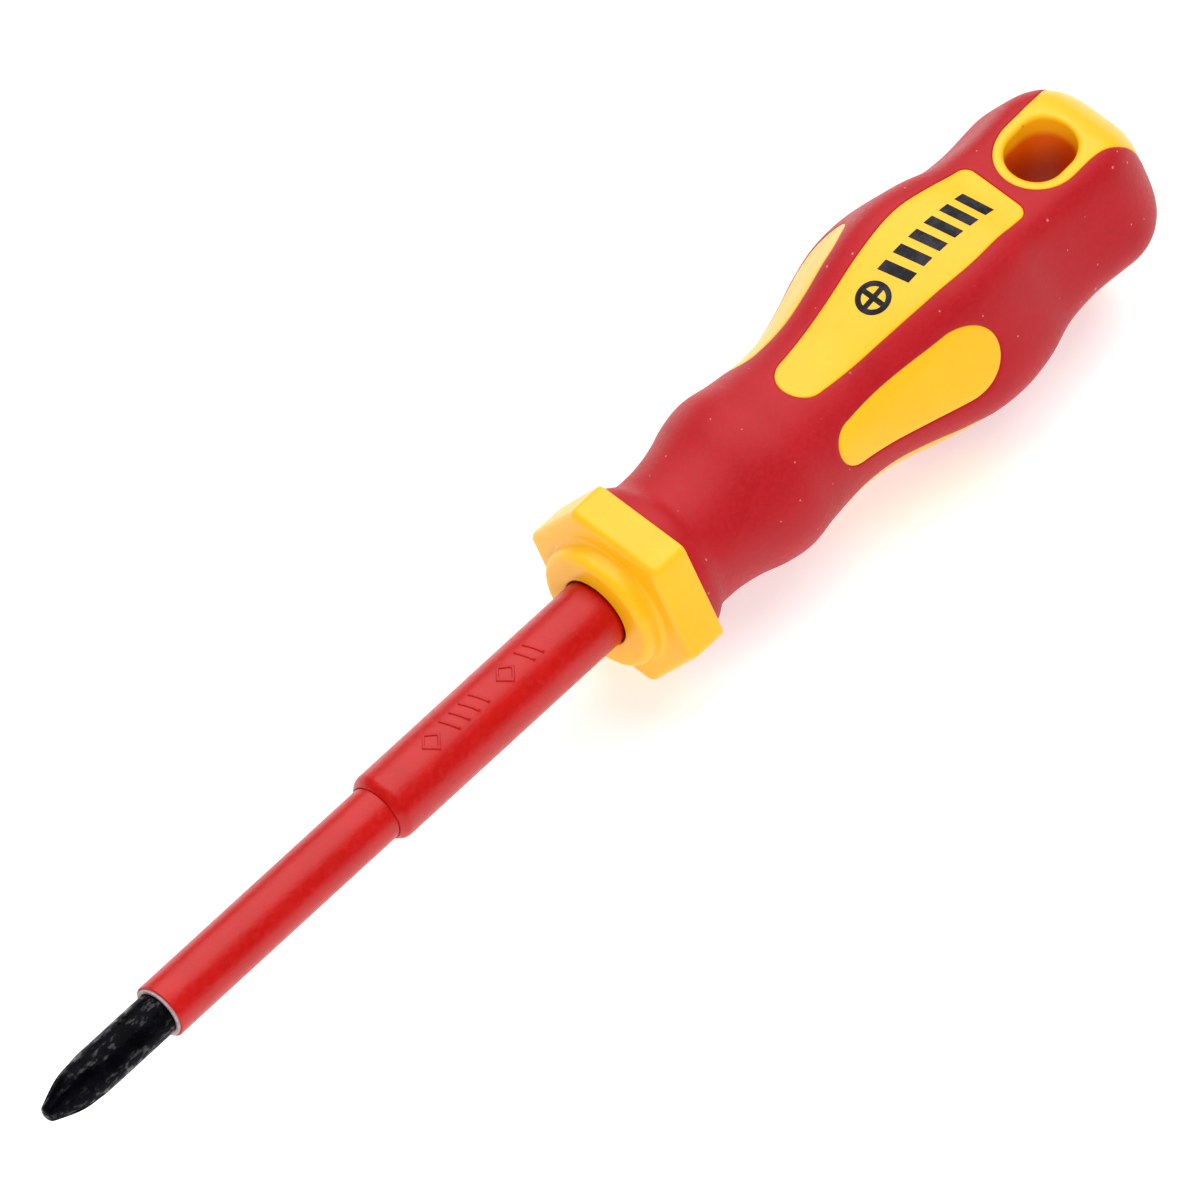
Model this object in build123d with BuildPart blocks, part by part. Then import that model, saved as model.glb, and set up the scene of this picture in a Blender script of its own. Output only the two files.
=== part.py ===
from build123d import *
from math import cos, pi, radians, sin, sqrt
import os

# Insulated cross-point screwdriver. The frame: origin at the blade's tip, on the tool's axis,
# +X from the tip to the tail, +Z out of the label panel. All sizes are in millimetres.

os.makedirs("parts", exist_ok=True)

# ---- driving dimensions: blade
SHANK_R = 3.0
TIP_FLAT_R = 1.0
TIP_TAPER_LENGTH = 4.8
FLUTE_COUNT = 4
FLUTE_TURN = 23.0            # degrees from +Z to the first flute, towards -Y
# Stations of a flute: x, half the thickness of the wings beside it.
FLUTE_STATIONS = ((-0.4, 0.5), (7.2, 1.4), (9.2, 2.25))
INSULATED_R = 2.8            # the shank is turned down a little where the insulation grips it
TANG_END_X = 165.0
TANG_WING_LENGTH = 9.0
TANG_WING_SPAN = 9.0
TANG_WING_THICKNESS = 2.2
TANG_WING_X = (130.0, 152.0)

# ---- driving dimensions: insulation
LINER_R = 3.5
SLIM_R = 3.83
OUTER_R = 4.8
LINER_START_X = 20.1
SLEEVE_START_X = 20.4
STEP_X = 59.8
STEP_LENGTH = 1.3            # the slope up to the outer sleeve's full thickness
SLEEVE_END_X = 112.0
EMBEDDED_R = 4.6             # the outer sleeve's radius inside the boss
SLEEVE_ROUND = 0.15
LINER_ROUND = 0.06

# ---- driving dimensions: raised marks on the outer sleeve
MARK_HEIGHT = 3.2
MARK_STROKE = 0.42
MARK_SLANT = 20.0
MARK_PROUD = 0.16
MARK_DEPTH = 0.6
LOZENGES_X = (69.8, 83.4)
HATCHES_X = (73.2, 75.0, 76.8, 78.6, 87.0, 88.6)

# ---- driving dimensions: boss and hexagonal collar
BOSS_R = 8.9
BOSS_FRONT_X = 100.0
BOSS_EDGE = 0.9
COLLAR_FRONT_X = 102.9
COLLAR_BACK_X = 108.7
COLLAR_FLATS = 24.0
COLLAR_CORNER = 1.3
COLLAR_EDGE = 1.0
BOSS_BORE_R = 4.9
BOSS_BORE_DEPTH = 2.5

# ---- driving dimensions: handle
TAIL_ROUND = 9.5
GRIP_WALL = 2.0
SECTION_POINTS = 24
ROUND = 4.0                  # hardness 4 is a circle, and a higher one is a flatter hexagon
# Stations of the handle's outer surface: x, half the width across flats, hardness.
STATIONS = (
    (108.7, 11.5, ROUND),
    (110.8, 11.1, ROUND),
    (112.9, 9.95, ROUND),
    (115.5, 9.75, ROUND),
    (118.5, 10.0, ROUND),
    (121.3, 10.55, 4.2),
    (124.5, 11.5, 4.6),
    (128.0, 12.0, 5.0),
    (132.0, 11.45, 5.0),
    (138.0, 11.0, 5.0),
    (143.0, 11.35, 6.0),
    (148.4, 12.6, 7.5),
    (153.5, 14.0, 10.0),
    (158.5, 15.0, 12.0),
    (163.0, 15.2, 12.0),
    (168.0, 14.5, 12.0),
    (173.5, 13.0, 12.0),
    (178.5, 12.5, 12.0),
    (186.5, 12.9, 12.0),
)
TAIL_STEPS = (25, 45, 62, 76, 86)   # degrees round the tail's rounding
TAIL_HARDNESS = 8.0

# ---- driving dimensions: windows in the grip
PANEL_NOSE_X = 134.8
PANEL_BACK_X = 174.9
# Side of the label panel, then of the oval window: x, half the width.
PANEL_SIDE = ((138.2, 3.4), (147.5, 4.5), (156.0, 5.7), (163.0, 6.25), (169.0, 5.7), (PANEL_BACK_X, 5.25))
PANEL_CORNER = 1.6
OVAL_NOSE_X = 135.1
OVAL_BACK_X = 160.4
OVAL_SIDE = ((138.0, 3.1), (146.5, 4.3), (154.5, 5.2))
PANEL_TURNS = (0, 180)
OVAL_TURNS = (60, 120, 240, 300)
WINDOW_BASE = 7.0            # windows are cut from this far off the axis outwards
WINDOW_TOP = 20.0

# ---- driving dimensions: tail strap and hang hole
HOLE_X = 183.2
HOLE_LENGTH = 9.9
HOLE_WIDTH = 8.1
HOLE_RIM_HEIGHT = 11.95      # where the bevelled rim starts, above the tool's axis
HOLE_RIM_REACH = 2.0
HOLE_RIM_SLOPE = 45.0
STRAP_HALF = 5.7
STRAP_NOSE = 6.5
# Side of the strap behind the hole, over the tail: x, half the width.
STRAP_SIDE = ((186.0, STRAP_HALF), (189.0, 5.95), (191.5, 6.6), (194.0, 7.0), (197.0, 7.1))
OVERSHOOT = 20.0             # how far the cutting shapes run past the handle

# ---- driving dimensions: inner core and print
CORE_R = 6.0
CORE_START_X = 112.0
CORE_END_X = 170.0
CORE_RIB_R = 6.6
CORE_RIB_WIDTH = 3.0
CORE_RIBS_X = (134.0, 144.0, 154.0, 164.0)
PRINT_DEPTH = 0.12
PRINT_RING_X = 151.6
PRINT_RING_R = 2.3
PRINT_RING_HOLE_R = 1.55
PRINT_CROSS = 0.7
PRINT_HEIGHT = 4.4
PRINT_BAR_WIDTH = 1.6
PRINT_BAR_SLANT = 12.0
PRINT_BAR_COUNT = 6
PRINT_BARS_X = 163.3
PRINT_BAR_PITCH = 2.9


def hexagon_radius(angle, half_flats, hardness):
    """Radius of a rounded hexagon whose flats face 0, 60, 120 ... degrees."""
    total = sum(abs(cos(angle - k * pi / 3)) ** hardness for k in range(3))
    return half_flats * (total / (1 + 2 * 0.5 ** hardness)) ** (-1 / hardness)


def handle_section(x, half_flats, hardness):
    """One cross-section of the handle, with a flat facing +Z."""
    points = []
    for step in range(SECTION_POINTS):
        angle = 2 * pi * step / SECTION_POINTS
        radius = hexagon_radius(angle, half_flats, hardness)
        points.append((radius * sin(angle), radius * cos(angle)))
    with BuildSketch(Plane.YZ.offset(x)) as section:
        with BuildLine():
            Spline(*points, periodic=True)
        make_face()
    return section.sketch


def handle_shape(inset):
    """The handle's whole form behind the collar, drawn in by an inset."""
    sections = [handle_section(x, half_flats - inset, hardness) for x, half_flats, hardness in STATIONS]
    start_x, tail_half, tail_hardness = STATIONS[-1]
    for turn in TAIL_STEPS:
        x = start_x + (TAIL_ROUND - inset) * sin(radians(turn))
        drop = (TAIL_ROUND - inset) * (1 - cos(radians(turn)))
        hardness = tail_hardness + (TAIL_HARDNESS - tail_hardness) * turn / 90
        sections.append(handle_section(x, tail_half - inset - drop, hardness))
    with BuildPart() as shape:
        loft(sections)
    return shape.part


def tube_profile(inner_r, outer_r, start_x, end_x, front_chamfer):
    """Half profile of a tube along +X with a bevelled front end, for a turn about the X axis."""
    with BuildSketch(Plane.XY) as profile:
        with BuildLine():
            Polyline(
                (start_x, inner_r),
                (end_x, inner_r),
                (end_x, outer_r),
                (start_x + front_chamfer, outer_r),
                (start_x, outer_r - front_chamfer),
                close=True,
            )
        make_face()
    return profile.sketch


def facing(turn, distance):
    """A plane that faces outwards at a turn about the tool's axis, measured from +Z towards -Y."""
    outwards = (0, -sin(radians(turn)), cos(radians(turn)))
    return Plane(origin=(0, 0, 0), x_dir=(1, 0, 0), z_dir=outwards).offset(distance)


def panel_outline(turn):
    """Outline of a label panel: a rounded nose, spreading sides and a square back."""
    with BuildSketch(facing(turn, WINDOW_BASE)) as outline:
        with BuildLine():
            side = Spline((PANEL_NOSE_X, 0), *PANEL_SIDE, tangents=((0, 1), (1, 0)))
            mirror(side, about=Plane.XZ)
            Line(side @ 1, (PANEL_BACK_X, -PANEL_SIDE[-1][1]))
        make_face()
        fillet(vertices().group_by(Axis.X)[-1], PANEL_CORNER)
    return outline.sketch


def oval_outline(turn):
    """Outline of an egg-shaped window, wider at its back."""
    with BuildSketch(facing(turn, WINDOW_BASE)) as outline:
        with BuildLine():
            side = Spline((OVAL_NOSE_X, 0), *OVAL_SIDE, (OVAL_BACK_X, 0), tangents=((0, 1), (0, -1)))
            mirror(side, about=Plane.XZ)
        make_face()
    return outline.sketch


# ---- blade: shank, cross point and tang
with BuildPart() as blade:
    with BuildSketch(Plane.XY):
        with BuildLine():
            Polyline(
                (0, 0),
                (0, TIP_FLAT_R),
                (TIP_TAPER_LENGTH, SHANK_R),
                (LINER_START_X, SHANK_R),
                (LINER_START_X, INSULATED_R),
                (TANG_END_X, INSULATED_R),
                (TANG_END_X, 0),
                close=True,
            )
        make_face()
    revolve(axis=Axis.X)
    for index in range(FLUTE_COUNT):
        turn = radians(FLUTE_TURN + (index + 0.5) * 360 / FLUTE_COUNT)
        across = (0, -sin(turn), cos(turn))
        for x, half_wing in FLUTE_STATIONS:
            with BuildSketch(Plane(origin=(x, 0, 0), x_dir=across, z_dir=(1, 0, 0))):
                with Locations((half_wing, half_wing)):
                    Rectangle(2 * SHANK_R, 2 * SHANK_R, align=(Align.MIN, Align.MIN))
        loft(ruled=True, mode=Mode.SUBTRACT)
    for x in TANG_WING_X:
        with Locations((x, 0, 0)):
            Box(TANG_WING_LENGTH, TANG_WING_SPAN, TANG_WING_THICKNESS)
blade.part.label = "blade"
export_step(blade.part, "parts/blade.step")


# ---- inner insulation: a thin pale liner on the shank
with BuildPart() as inner_insulation:
    revolve(tube_profile(INSULATED_R, LINER_R, LINER_START_X, SLEEVE_END_X, LINER_ROUND), axis=Axis.X)
inner_insulation.part.label = "inner_insulation"
export_step(inner_insulation.part, "parts/inner_insulation.step")


# ---- slim sleeve: the red tube along the whole shank
with BuildPart() as slim_sleeve:
    revolve(tube_profile(LINER_R, SLIM_R, SLEEVE_START_X, SLEEVE_END_X, SLEEVE_ROUND), axis=Axis.X)
slim_sleeve.part.label = "slim_sleeve"
export_step(slim_sleeve.part, "parts/slim_sleeve.step")


# ---- outer sleeve: the thicker red tube, with lozenges and slanted hatches raised on it
with BuildPart() as raised_marks:
    with BuildSketch(Plane.XY.offset(OUTER_R - MARK_DEPTH)):
        lozenge_side = MARK_HEIGHT / sqrt(2)
        for x in LOZENGES_X:
            with Locations(Location((x, 0), 45)):
                Rectangle(lozenge_side, lozenge_side)
                Rectangle(lozenge_side - 2 * MARK_STROKE, lozenge_side - 2 * MARK_STROKE, mode=Mode.SUBTRACT)
        for x in HATCHES_X:
            with Locations(Location((x, 0), MARK_SLANT)):
                Rectangle(MARK_STROKE, MARK_HEIGHT)
    extrude(amount=MARK_DEPTH + MARK_PROUD)
    Cylinder(OUTER_R + MARK_PROUD, 2 * SLEEVE_END_X, rotation=(0, 90, 0), mode=Mode.INTERSECT)

with BuildPart() as outer_sleeve:
    with BuildSketch(Plane.XY):
        with BuildLine():
            Polyline(
                (STEP_X, SLIM_R),
                (SLEEVE_END_X, SLIM_R),
                (SLEEVE_END_X, EMBEDDED_R),
                (BOSS_FRONT_X, EMBEDDED_R),
                (BOSS_FRONT_X, OUTER_R),
                (STEP_X + STEP_LENGTH, OUTER_R),
                close=True,
            )
        make_face()
    revolve(axis=Axis.X)
    add(raised_marks.part)
outer_sleeve.part.label = "outer_sleeve"
export_step(outer_sleeve.part, "parts/outer_sleeve.step")


# ---- tang core: the hard first shot round the tang, with ribs that key it to the handle
with BuildPart() as tang_core:
    with BuildSketch(Plane.YZ.offset(CORE_START_X)):
        Circle(CORE_R)
    extrude(amount=CORE_END_X - CORE_START_X)
    for x in CORE_RIBS_X:
        with BuildSketch(Plane.YZ.offset(x)):
            Circle(CORE_RIB_R)
        extrude(amount=CORE_RIB_WIDTH)
    add(blade.part, mode=Mode.SUBTRACT)
tang_core.part.label = "tang_core"
export_step(tang_core.part, "parts/tang_core.step")


# ---- handle body: boss, collar, covered core, window pads and tail strap
outer_form = handle_shape(0)
covered_form = handle_shape(GRIP_WALL)

with BuildPart() as pads:
    for turn in PANEL_TURNS:
        extrude(panel_outline(turn), amount=WINDOW_TOP - WINDOW_BASE)
    for turn in OVAL_TURNS:
        extrude(oval_outline(turn), amount=WINDOW_TOP - WINDOW_BASE)
    with BuildSketch(Plane.XY.offset(-OVERSHOOT)):
        with BuildLine():
            EllipticalCenterArc((HOLE_X, 0), STRAP_NOSE, STRAP_HALF, start_angle=90, arc_size=180)
            side = Spline((HOLE_X, STRAP_HALF), *STRAP_SIDE, tangents=((1, 0), (1, 0)))
            mirror(side, about=Plane.XZ)
            Line(side @ 1, (STRAP_SIDE[-1][0], -STRAP_SIDE[-1][1]))
        make_face()
    extrude(amount=2 * OVERSHOOT)
    add(outer_form, mode=Mode.INTERSECT)

with BuildPart() as body_blank:
    with BuildSketch(Plane.YZ.offset(BOSS_FRONT_X)):
        Circle(BOSS_R)
    extrude(amount=COLLAR_BACK_X - BOSS_FRONT_X)
    fillet(edges().group_by(Axis.X)[0], BOSS_EDGE)
    with BuildSketch(Plane.YZ.offset(COLLAR_FRONT_X)):
        RegularPolygon(COLLAR_FLATS / 2, 6, major_radius=False)
        fillet(vertices(), COLLAR_CORNER)
    extrude(amount=COLLAR_BACK_X - COLLAR_FRONT_X)
    collar_edges = edges().filter_by_position(Axis.X, COLLAR_FRONT_X, COLLAR_FRONT_X)
    rim_edges = collar_edges.filter_by(lambda edge: edge.geom_type != GeomType.CIRCLE or edge.length < BOSS_R)
    fillet(rim_edges, COLLAR_EDGE)
    add(covered_form)
    add(pads.part)

with BuildPart() as hang_hole:
    with BuildSketch(Plane.XY.offset(-OVERSHOOT)):
        with Locations((HOLE_X, 0)):
            SlotOverall(HOLE_LENGTH, HOLE_WIDTH)
    extrude(amount=2 * OVERSHOOT)
    with BuildSketch(Plane.XY.offset(HOLE_RIM_HEIGHT)):
        with Locations((HOLE_X, 0)):
            SlotOverall(HOLE_LENGTH, HOLE_WIDTH)
    rim = extrude(amount=HOLE_RIM_REACH, taper=-HOLE_RIM_SLOPE)
    mirror(rim, about=Plane.XY)

with BuildPart() as print_cutter:
    with BuildSketch(Plane.XY.offset(WINDOW_BASE)):
        with GridLocations(PRINT_BAR_PITCH, 0, PRINT_BAR_COUNT, 1):
            with Locations(Location((PRINT_BARS_X, 0), PRINT_BAR_SLANT)):
                Rectangle(PRINT_BAR_WIDTH, 2 * PRINT_HEIGHT)
        with Locations((PRINT_BARS_X, 0)):
            Rectangle(2 * PRINT_BAR_COUNT * PRINT_BAR_PITCH, PRINT_HEIGHT, mode=Mode.INTERSECT)
        with Locations((PRINT_RING_X, 0)):
            Circle(PRINT_RING_R)
            Circle(PRINT_RING_HOLE_R, mode=Mode.SUBTRACT)
            Rectangle(2 * PRINT_RING_HOLE_R, PRINT_CROSS)
            Rectangle(PRINT_CROSS, 2 * PRINT_RING_HOLE_R)
    extrude(amount=WINDOW_TOP - WINDOW_BASE)
    add(handle_shape(PRINT_DEPTH), mode=Mode.SUBTRACT)

with BuildPart() as handle_body:
    add(body_blank.part)
    with BuildSketch(Plane.YZ.offset(BOSS_FRONT_X)):
        Circle(EMBEDDED_R)
    extrude(amount=SLEEVE_END_X - BOSS_FRONT_X, mode=Mode.SUBTRACT)
    with BuildSketch(Plane.YZ.offset(BOSS_FRONT_X)):
        Circle(BOSS_BORE_R)
    extrude(amount=BOSS_BORE_DEPTH, mode=Mode.SUBTRACT)
    with BuildSketch(Plane.YZ.offset(CORE_START_X)):
        Circle(CORE_R)
    extrude(amount=CORE_END_X - CORE_START_X, mode=Mode.SUBTRACT)
    add(tang_core.part, mode=Mode.SUBTRACT)
    add(hang_hole.part, mode=Mode.SUBTRACT)
    add(print_cutter.part, mode=Mode.SUBTRACT)
handle_body.part.label = "handle_body"
export_step(handle_body.part, "parts/handle_body.step")


# ---- soft grip: the red overmould round the body, open at its windows
with BuildPart() as soft_grip:
    add(outer_form)
    add(body_blank.part, mode=Mode.SUBTRACT)
    add(hang_hole.part, mode=Mode.SUBTRACT)
soft_grip.part.label = "soft_grip"
export_step(soft_grip.part, "parts/soft_grip.step")


# ---- label print: a thin ink layer let into the panel
with BuildPart() as label_print:
    add(print_cutter.part)
    add(outer_form, mode=Mode.INTERSECT)
label_print.part.label = "label_print"
export_step(label_print.part, "parts/label_print.step")
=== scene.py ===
from math import asin, atan, cos, degrees, hypot, pi, radians, sin, sqrt, tan

import bmesh
import bpy
import numpy as np
from mathutils import Matrix, Vector
from mathutils.geometry import delaunay_2d_cdt
from mathutils.kdtree import KDTree


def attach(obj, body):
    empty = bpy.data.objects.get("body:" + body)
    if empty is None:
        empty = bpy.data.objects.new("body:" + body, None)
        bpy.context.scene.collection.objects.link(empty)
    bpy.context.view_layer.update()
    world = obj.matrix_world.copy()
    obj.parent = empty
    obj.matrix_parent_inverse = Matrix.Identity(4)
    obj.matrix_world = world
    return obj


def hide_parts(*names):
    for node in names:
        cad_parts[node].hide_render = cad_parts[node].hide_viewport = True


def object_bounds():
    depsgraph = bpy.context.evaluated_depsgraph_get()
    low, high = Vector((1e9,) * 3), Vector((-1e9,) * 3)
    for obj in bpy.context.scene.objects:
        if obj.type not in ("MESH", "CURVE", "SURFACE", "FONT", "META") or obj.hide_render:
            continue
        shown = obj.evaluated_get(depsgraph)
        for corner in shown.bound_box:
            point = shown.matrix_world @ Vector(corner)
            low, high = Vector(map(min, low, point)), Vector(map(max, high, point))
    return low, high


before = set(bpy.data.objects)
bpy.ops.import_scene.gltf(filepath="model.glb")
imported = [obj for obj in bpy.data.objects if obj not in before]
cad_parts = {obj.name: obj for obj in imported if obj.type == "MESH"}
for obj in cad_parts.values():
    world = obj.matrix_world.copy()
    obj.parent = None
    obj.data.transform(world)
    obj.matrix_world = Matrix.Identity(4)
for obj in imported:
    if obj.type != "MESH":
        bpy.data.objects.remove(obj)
cad_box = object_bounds()
MM = 0.001
MERGE_DISTANCE = 0.002 * MM

# The screwdriver lies along X, tip at 0 and tail at the far end, with its label panel facing +Z.
# The tool's sizes are in millimetres, in the CAD model's frame. A turn is measured about the tool's
# axis from +Z towards -Y.

# ---- handle
COLLAR_BACK = 108.7
STATIONS = (
    # x, half the width across flats, hardness (4 is round, more is a flatter hexagon)
    (COLLAR_BACK, 11.5, 4.0),
    (110.8, 11.1, 4.0),
    (112.9, 9.95, 4.0),
    (115.5, 9.75, 4.0),
    (118.5, 10.0, 4.0),
    (121.3, 10.55, 4.2),
    (124.5, 11.5, 4.6),
    (128.0, 12.0, 5.0),
    (132.0, 11.45, 5.0),
    (138.0, 11.0, 5.0),
    (143.0, 11.35, 6.0),
    (148.4, 12.6, 7.5),
    (153.5, 14.0, 10.0),
    (158.5, 15.0, 12.0),
    (163.0, 15.2, 12.0),
    (168.0, 14.5, 12.0),
    (173.5, 13.0, 12.0),
    (178.5, 12.5, 12.0),
    (186.5, 12.9, 12.0),
)
TAIL_ROUND = 9.5
TAIL_HARDNESS = 8.0
POLE_R = 0.6              # where the stepped profile of the tail's end stops, short of the axis
REFERENCE_R = 13.0        # radius at which the handle's skin is unrolled
SEAM = pi / 2             # turn at which the unrolled skin is cut open
NORMAL_STEP = 0.05        # reach over which the skin's slope is measured
HALVINGS = 40             # how often a search on the skin is halved

# ---- windows, strap and hang hole
PANEL_TURNS = (0, 180)
PANEL_NOSE = 134.8
PANEL_BACK = 174.9
PANEL_SIDE = ((138.4, 3.4), (147.5, 4.5), (156.0, 5.7), (163.0, 6.25), (169.0, 5.7), (PANEL_BACK, 5.25))
PANEL_CORNER = 1.6
OVAL_TURNS = (60, 120, 240, 300)
OVAL_NOSE = 135.1
OVAL_BACK = 160.4
OVAL_NOSE_END = (138.6, 3.2)
OVAL_MIDDLE = (146.5, 4.3)
OVAL_WIDEST = (154.5, 5.2)
HOLE_TURNS = (0, 180)
HOLE_X = 183.2
HOLE_LENGTH = 9.9
HOLE_WIDTH = 8.1
HOLE_ROUND = 0.7
HOLE_SLACK = 0.05         # how far inside the hole's wall a point still counts as on its rim
HOLE_SHADE_START_Z = 10.4      # the hole's wall has no painted shade above this height, and full deep orange painted shade under the next
HOLE_SHADE_FULL_Z = 8.4
STRAP_HALF = 5.7
STRAP_NOSE = 6.5
STRAP_SIDE = ((186.0, STRAP_HALF), (189.0, 5.95), (191.5, 6.6), (194.0, 7.0), (197.0, 7.1))
OUTLINE_STEP = 0.4        # spacing of the points of the windows' outlines
STRAP_STEP = 0.42

# ---- how the two materials meet
GRIP_EDGE = 0.22          # rounding of the grip round its windows
PAD_EDGE = 0.16           # rounding of the yellow pads
PAD_DROP = 0.05           # how far the pads sit under the grip's skin
GRIP_THICKNESS = 1.0
COVERED_DROP = 1.1
COVER_GAP = 0.03
EDGE_STEPS = (0.0, 0.12, 0.4, 1.0)     # rows of a rounded edge, as shares of its radius
SKIN_STEP = 0.6           # spacing of the points on skin that shows
COVERED_STEP = 1.8        # and on skin under the grip
EDGE_CLEARANCE = 0.3      # how far those points stay from an outline
RIM_COUNT = 96
POLE_CAP = 1.6            # the tail's last stretch of skin, closed by one fan
FRONT_COUNT = 150
STRAP_GAPS = (0.5, 0.7)   # how far the seam's points stay from the strap's line, before and after it
POLE_GAP = 0.4            # and from the fan

# ---- collar and boss
BOSS_FRONT = 100.0
BOSS_R = 8.9
BOSS_ROUND = 1.2
COLLAR_FRONT = 102.9
COLLAR_HALF = 12.0
COLLAR_CORNER = 1.3
COLLAR_FRONT_ROUND = 1.1
COLLAR_BACK_ROUND = 0.35
COLLAR_HOLLOW = 0.9       # hollow fillet between boss and collar
BORE_R = 4.92
BORE_MOUTH = 0.3
BORE_END = 112.4

# ---- insulation and blade
SHANK_R = 3.0
INSULATED_R = 2.8
EMBEDDED_R = 4.6
LINER_R = 3.5
SLIM_R = 3.83
OUTER_R = 4.8
LINER_START = 20.1
LINER_ROUND = 0.12
SLEEVE_START = 20.4
STEP_X = 59.8
SLEEVE_END = 112.0
TANG_END = 165.0
TIP_R = 1.0
TIP_TAPER = 4.8
TIP_BLEND = 0.35
FLUTE_TURN = 23.0
FLUTE_STATIONS = ((-0.4, 0.5), (7.2, 1.4), (9.2, 2.25))   # x, half the wings' thickness
POINT_END = ((0.0, 0.55), (0.08, 0.8), (0.2, 0.93))         # x, share of the cone's radius
POINT_X = (0.4, 10.5)     # stretch of the point that is finely stepped
PLAIN_X = 11.0            # and where the plain shank starts
WIDEST_WING = 43.0        # degrees that half a wing takes up at most
SHANK_LEAD = 0.3          # how far the full shank runs on inside the liner
PLAY = 0.02
SLEEVE_ROUND = 0.14
SLEEVE_CHAMFER = 0.05
STEP_LENGTH = 1.3
STEP_LIP = 0.1
STEP_SECTION = ((0.0, 0.1), (0.12, 0.27), (0.35, 0.54), (0.6, 0.78), (0.8, 0.91), (1.0, 0.98), (1.25, 1.0))
TANG_WINGS_X = (130.0, 152.0)
TANG_WING_LENGTH = 9.0
TANG_WING_SPAN = 9.0
TANG_WING_THICKNESS = 2.2
TANG_WING_BEVEL = 0.4

# ---- raised marks and print
MARK_HEIGHT = 3.2
MARK_STROKE = 0.42
MARK_SLANT = 20.0
MARK_PROUD = 0.16
LOZENGES_X = (69.8, 83.4)
HATCHES_X = (73.2, 75.0, 76.8, 78.6, 87.0, 88.6)
RIDGE_SECTION = ((-0.5, -0.6), (-0.42, 0.55), (-0.25, 0.95), (0.25, 0.95), (0.42, 0.55), (0.5, -0.6))
PRINT_RING_X = 151.6
PRINT_RING_R = 2.3
PRINT_HOLE_R = 1.55
PRINT_CROSS = 0.7
PRINT_HEIGHT = 4.4
PRINT_BAR_WIDTH = 1.6
PRINT_SLANT = 12.0
PRINT_BAR_COUNT = 6
PRINT_BARS_X = 163.3
PRINT_BAR_PITCH = 2.9
PRINT_PROUD = 0.02
PRINT_SUNK = 0.1
PRINT_EDGE_STEP = 0.25
PRINT_STEP = 0.35
PRINT_CLEARANCE = 0.12


# ---- The handle's skin: a point on it is given by the way along its profile and a turn.

def smooth_curve(knots, values, places):
    """Cubic through the knots whose slope at each comes from its neighbours."""
    knots = np.asarray(knots, float)
    values = np.asarray(values, float)
    slopes = np.gradient(values, knots)
    places = np.clip(places, knots[0], knots[-1])
    index = np.clip(np.searchsorted(knots, places) - 1, 0, len(knots) - 2)
    span = knots[index + 1] - knots[index]
    t = (places - knots[index]) / span
    low, high = values[index], values[index + 1]
    a, b = slopes[index] * span, slopes[index + 1] * span
    return (
        low * (2 * t ** 3 - 3 * t ** 2 + 1)
        + a * (t ** 3 - 2 * t ** 2 + t)
        + high * (3 * t ** 2 - 2 * t ** 3)
        + b * (t ** 3 - t ** 2)
    )


def handle_profile():
    """Way along the skin, x, half the width across flats and hardness, finely stepped to the pole."""
    knots = [s[0] for s in STATIONS]
    x = np.linspace(knots[0], knots[-1], 700)
    half = smooth_curve(knots, [s[1] for s in STATIONS], x)
    hardness = smooth_curve(knots, [s[2] for s in STATIONS], x)
    start_x, tail_half, tail_hardness = STATIONS[-1]
    turn = np.linspace(0, pi / 2, 120)[1:]
    round_x = start_x + TAIL_ROUND * np.sin(turn)
    round_half = tail_half - TAIL_ROUND * (1 - np.cos(turn))
    round_hardness = tail_hardness + (TAIL_HARDNESS - tail_hardness) * turn / (pi / 2)
    flat_half = np.linspace(round_half[-1], POLE_R, 20)[1:]
    x = np.concatenate([x, round_x, np.full(len(flat_half), round_x[-1])])
    half = np.concatenate([half, round_half, flat_half])
    hardness = np.concatenate([hardness, round_hardness, np.full(len(flat_half), TAIL_HARDNESS)])
    way = np.concatenate([[0], np.cumsum(np.hypot(np.diff(x), np.diff(half)))])
    return way, x, half, hardness


PROFILE_WAY, PROFILE_X, PROFILE_HALF, PROFILE_HARDNESS = handle_profile()
WAY_END = PROFILE_WAY[-1]


def hexagon_radius(turn, half, hardness):
    """Radius at a turn of a rounded hexagon, whose flats face 0, 60, 120 degrees and so on."""
    total = sum(np.abs(np.cos(turn - k * pi / 3)) ** hardness for k in range(3))
    return half * (total / (1 + 2 * 0.5 ** hardness)) ** (-1 / hardness)


def skin_radius(way, turn):
    half = np.interp(way, PROFILE_WAY, PROFILE_HALF)
    hardness = np.interp(way, PROFILE_WAY, PROFILE_HARDNESS)
    return hexagon_radius(turn, half, hardness)


def skin_point(way, turn):
    radius = skin_radius(way, turn)
    x = np.interp(way, PROFILE_WAY, PROFILE_X)
    return np.stack([x, -radius * np.sin(turn), radius * np.cos(turn)], axis=-1)


def skin_normal(way, turn):
    turn_step = NORMAL_STEP / REFERENCE_R
    along = skin_point(way + NORMAL_STEP, turn) - skin_point(way - NORMAL_STEP, turn)
    around = skin_point(way, turn + turn_step) - skin_point(way, turn - turn_step)
    normal = np.cross(along, around)
    normal /= np.linalg.norm(normal, axis=-1, keepdims=True)
    outwards = skin_point(way, turn)
    outwards[..., 0] = 0
    flip = np.sign(np.sum(normal * outwards, axis=-1, keepdims=True))
    return normal * np.where(flip == 0, 1, flip)


def sunk_point(way, turn, depth):
    """A point under the skin, by a depth along its normal."""
    way, turn, depth = np.broadcast_arrays(*(np.asarray(value, float) for value in (way, turn, depth)))
    return skin_point(way, turn) - skin_normal(way, turn) * depth[..., None]


def way_at(x):
    """Way along the skin to an x, in front of the tail's pole."""
    last = int(np.argmax(PROFILE_X))
    return np.interp(x, PROFILE_X[:last], PROFILE_WAY[:last])


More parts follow.
